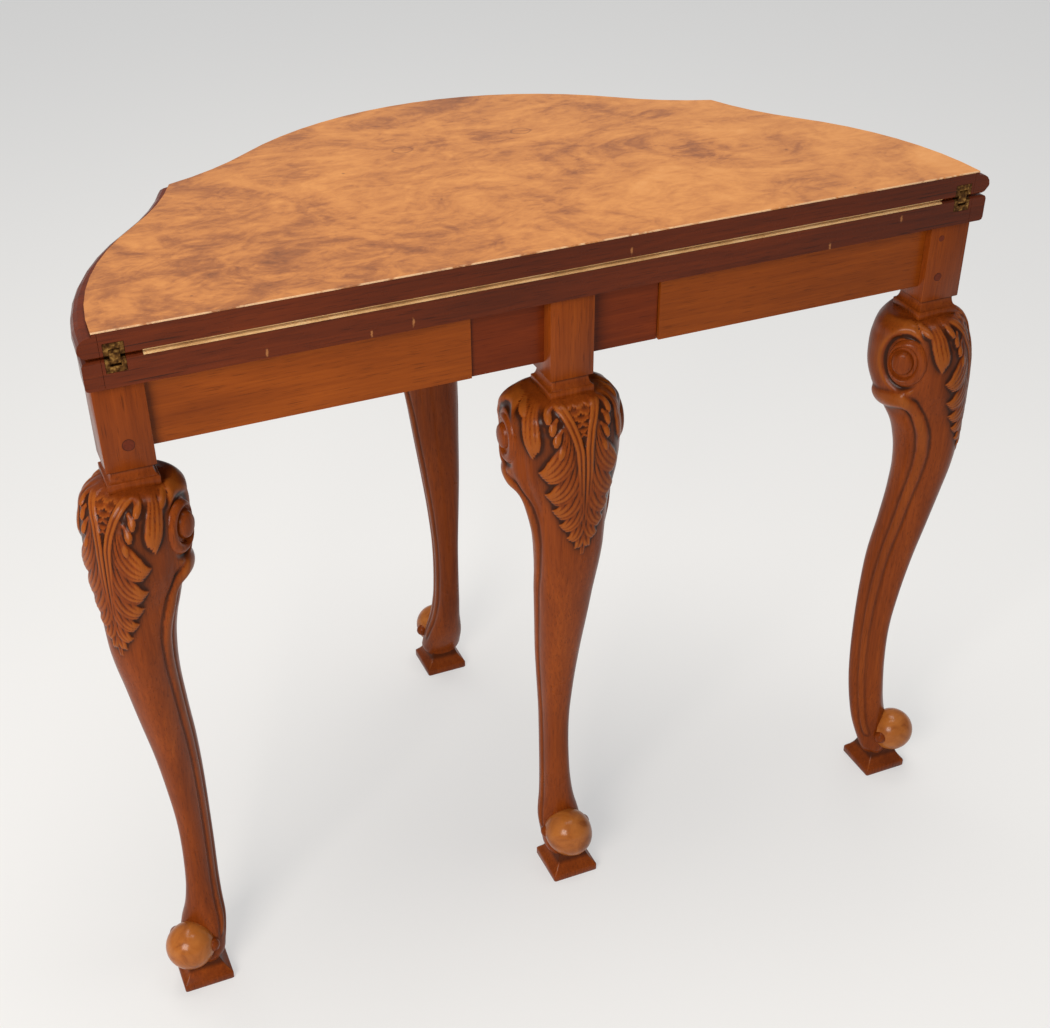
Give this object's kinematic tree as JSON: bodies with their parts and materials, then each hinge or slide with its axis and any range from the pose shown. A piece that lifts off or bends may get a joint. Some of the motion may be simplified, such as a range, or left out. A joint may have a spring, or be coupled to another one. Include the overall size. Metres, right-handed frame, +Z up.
{
  "type": "folding card table",
  "caption": "Card table with a lobed folding top on brass link hinges, carved cabriole legs and a rear leg that slides out to carry the opened leaf.",
  "frame": {"origin": "on the floor, under the middle of the footprint of the closed table", "axes": "+Z up, +X along the hinge line, +Y towards the bowed front, so the flat rear edge and the pull-out leg face -Y"},
  "size_m": [0.9026, 0.4826, 0.74],
  "materials": {
    "walnut": "waxed, orange brown, grain along each piece",
    "edge_walnut": "dark red brown, polished",
    "slide_walnut": "satin, red brown",
    "burr": "figured golden brown veneer, polished",
    "pine": "bare, sawn",
    "cloth": "worn straw-coloured lining",
    "brass": "aged, dull"
  },
  "bodies": {
    "table_frame": {"lower_leaf_core": "walnut", "lower_leaf_lining": "cloth", "lower_moulding_front": "edge_walnut", "lower_moulding_left": "edge_walnut", "lower_moulding_right": "edge_walnut", "hinge_plate_lower_left": "brass", "hinge_plate_lower_right": "brass", "hinge_pin_lower_left": "brass", "hinge_pin_lower_right": "brass", "hinge_screw_lower_left_1": "brass", "hinge_screw_lower_left_2": "brass", "hinge_screw_lower_right_1": "brass", "hinge_screw_lower_right_2": "brass", "rear_rail_left": "walnut", "rear_rail_right": "walnut", "side_frieze_left": "walnut", "side_frieze_right": "walnut", "front_frieze_left": "walnut", "front_frieze_right": "walnut", "corner_block_left": "pine", "corner_block_right": "pine", "glue_block_front_left": "pine", "glue_block_front_right": "pine", "glue_block_side_left": "pine", "glue_block_side_right": "pine", "leg_rear_left": "walnut", "leg_rear_right": "walnut", "leg_front": "walnut", "peg_left": "walnut", "peg_right_lower": "walnut", "peg_right_upper": "walnut", "slide_guide_left": "pine", "slide_guide_right": "pine", "slide_runner_left": "walnut", "slide_runner_right": "walnut", "slide_stop": "pine"},
    "hinge_links": {"hinge_link_left": "brass", "hinge_link_right": "brass"},
    "upper_leaf": {"upper_leaf_core": "walnut", "upper_leaf_veneer": "burr", "upper_leaf_lining": "cloth", "upper_moulding_front": "edge_walnut", "upper_moulding_left": "edge_walnut", "upper_moulding_right": "edge_walnut", "hinge_plate_upper_left": "brass", "hinge_plate_upper_right": "brass", "hinge_pin_upper_left": "brass", "hinge_pin_upper_right": "brass", "hinge_screw_upper_left_1": "brass", "hinge_screw_upper_left_2": "brass", "hinge_screw_upper_right_1": "brass", "hinge_screw_upper_right_2": "brass"},
    "slide": {"leg_pull_out": "walnut", "slide_board": "slide_walnut", "slide_arm_left": "walnut", "slide_arm_right": "walnut", "slide_tie": "walnut"}
  },
  "joints": [
    {"name": "lower_pins", "type": "hinge", "parent": "table_frame", "child": "hinge_links", "pos_m": [0, -0.20388, 0.71255], "axis": [1, 0, 0], "range_deg": [0, 90]},
    {"name": "upper_pins", "type": "hinge", "parent": "hinge_links", "child": "upper_leaf", "pos_m": [0, -0.20388, 0.72045], "axis": [1, 0, 0], "range_deg": [0, 90]},
    {"name": "pull_out", "type": "slide", "parent": "table_frame", "child": "slide", "axis": [0, -1, 0], "range_m": [0, 0.25]}
  ],
  "couplings": [
    {"joint": "upper_pins", "follows": "lower_pins", "ratio": 1}
  ]
}
